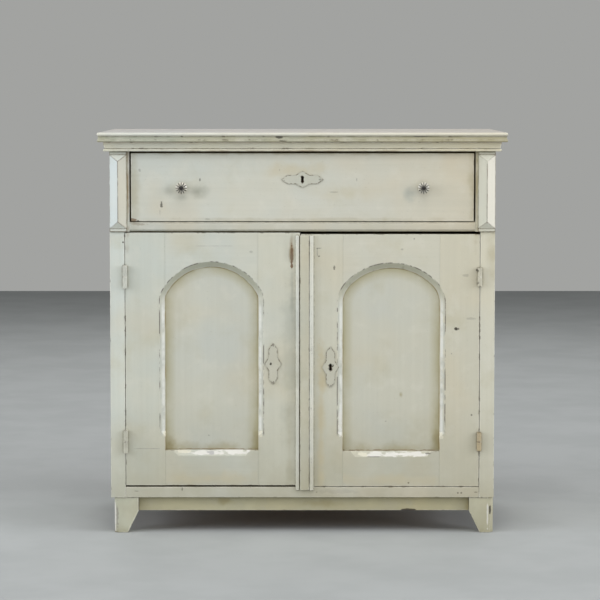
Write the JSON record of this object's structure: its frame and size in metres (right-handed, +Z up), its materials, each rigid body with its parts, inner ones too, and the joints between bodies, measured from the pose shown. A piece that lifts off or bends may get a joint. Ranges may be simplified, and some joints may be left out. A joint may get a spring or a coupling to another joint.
{
  "type": "painted sideboard",
  "caption": "Pale painted pine sideboard with a wide lockable drawer over a pair of arched-panel doors on short tapered feet, moulded top and shelf inside.",
  "frame": {"origin": "on the floor under the middle of the whole cabinet", "axes": "+X to the viewer's right along the front, +Y from the front to the back, +Z up"},
  "size_m": [1.032, 0.519, 1.0198],
  "materials": {
    "sage_paint": "old pale sage-cream oil paint on pine, worn to white and bare wood on the edges",
    "old_pine": "bare aged pine",
    "painted_iron": "iron painted over with the cabinet",
    "old_iron": "dark oxidised iron",
    "ivory_knob": "ivory-coloured, polished, with dark rays"
  },
  "bodies": {
    "carcass": {"back_board_left": "old_pine", "back_board_right": "old_pine", "bottom_board": "old_pine", "bottom_rail": "sage_paint", "cornice_front": "sage_paint", "cornice_left": "sage_paint", "cornice_right": "sage_paint", "drawer_rail": "sage_paint", "foot_back_left": "sage_paint", "foot_back_right": "sage_paint", "foot_front_left": "sage_paint", "foot_front_right": "sage_paint", "front_apron": "sage_paint", "left_corner_block": "sage_paint", "left_drawer_runner": "old_pine", "left_front_stile": "sage_paint", "left_hinge_frame_lower": "painted_iron", "left_hinge_frame_upper": "painted_iron", "left_side": "sage_paint", "right_corner_block": "sage_paint", "right_drawer_runner": "old_pine", "right_front_stile": "sage_paint", "right_hinge_frame_lower": "painted_iron", "right_hinge_frame_upper": "painted_iron", "right_side": "sage_paint", "shelf": "old_pine", "top_board": "sage_paint", "top_front_rail": "sage_paint"},
    "drawer": {"drawer_front": "sage_paint", "drawer_left_side": "old_pine", "drawer_right_side": "old_pine", "drawer_back": "old_pine", "drawer_bottom": "old_pine", "drawer_knob_left": "ivory_knob", "drawer_knob_right": "ivory_knob", "drawer_escutcheon": "painted_iron", "drawer_lock_case": "old_iron"},
    "drawer_lock_bolt": {"drawer_lock_bolt": "old_iron"},
    "left_door": {"left_door_bead": "sage_paint", "left_door_bolt_plate": "old_iron", "left_door_bottom_rail": "sage_paint", "left_door_escutcheon": "painted_iron", "left_door_hinge_lower": "painted_iron", "left_door_hinge_stile": "sage_paint", "left_door_hinge_upper": "painted_iron", "left_door_meeting_stile": "sage_paint", "left_door_panel": "sage_paint", "left_door_top_rail": "sage_paint"},
    "left_door_slide_bolt": {"left_door_slide_bolt": "old_iron"},
    "right_door": {"right_door_astragal": "sage_paint", "right_door_bottom_rail": "sage_paint", "right_door_escutcheon": "painted_iron", "right_door_hinge_lower": "painted_iron", "right_door_hinge_stile": "sage_paint", "right_door_hinge_upper": "painted_iron", "right_door_lock_case": "old_iron", "right_door_meeting_stile": "sage_paint", "right_door_panel": "sage_paint", "right_door_top_rail": "sage_paint"},
    "right_door_lock_bolt": {"right_door_lock_bolt": "old_iron"}
  },
  "joints": [
    {"name": "drawer_slide", "type": "slide", "parent": "carcass", "child": "drawer", "axis": [0, -1, 0], "range_m": [0, 0.35]},
    {"name": "left_door_hinge", "type": "hinge", "parent": "carcass", "child": "left_door", "pos_m": [-0.44875, -0.2368, 0.4445], "axis": [0, 0, -1], "range_deg": [0, 170]},
    {"name": "right_door_hinge", "type": "hinge", "parent": "carcass", "child": "right_door", "pos_m": [0.44875, -0.2368, 0.4445], "axis": [0, 0, 1], "range_deg": [0, 170]},
    {"name": "drawer_bolt_slide", "type": "slide", "parent": "drawer", "child": "drawer_lock_bolt", "axis": [0, 0, 1], "range_m": [0, 0.009]},
    {"name": "left_door_bolt_slide", "type": "slide", "parent": "left_door", "child": "left_door_slide_bolt", "axis": [0, 0, 1], "range_m": [0, 0.014]},
    {"name": "right_door_bolt_slide", "type": "slide", "parent": "right_door", "child": "right_door_lock_bolt", "axis": [-1, 0, 0], "range_m": [0, 0.01]}
  ]
}
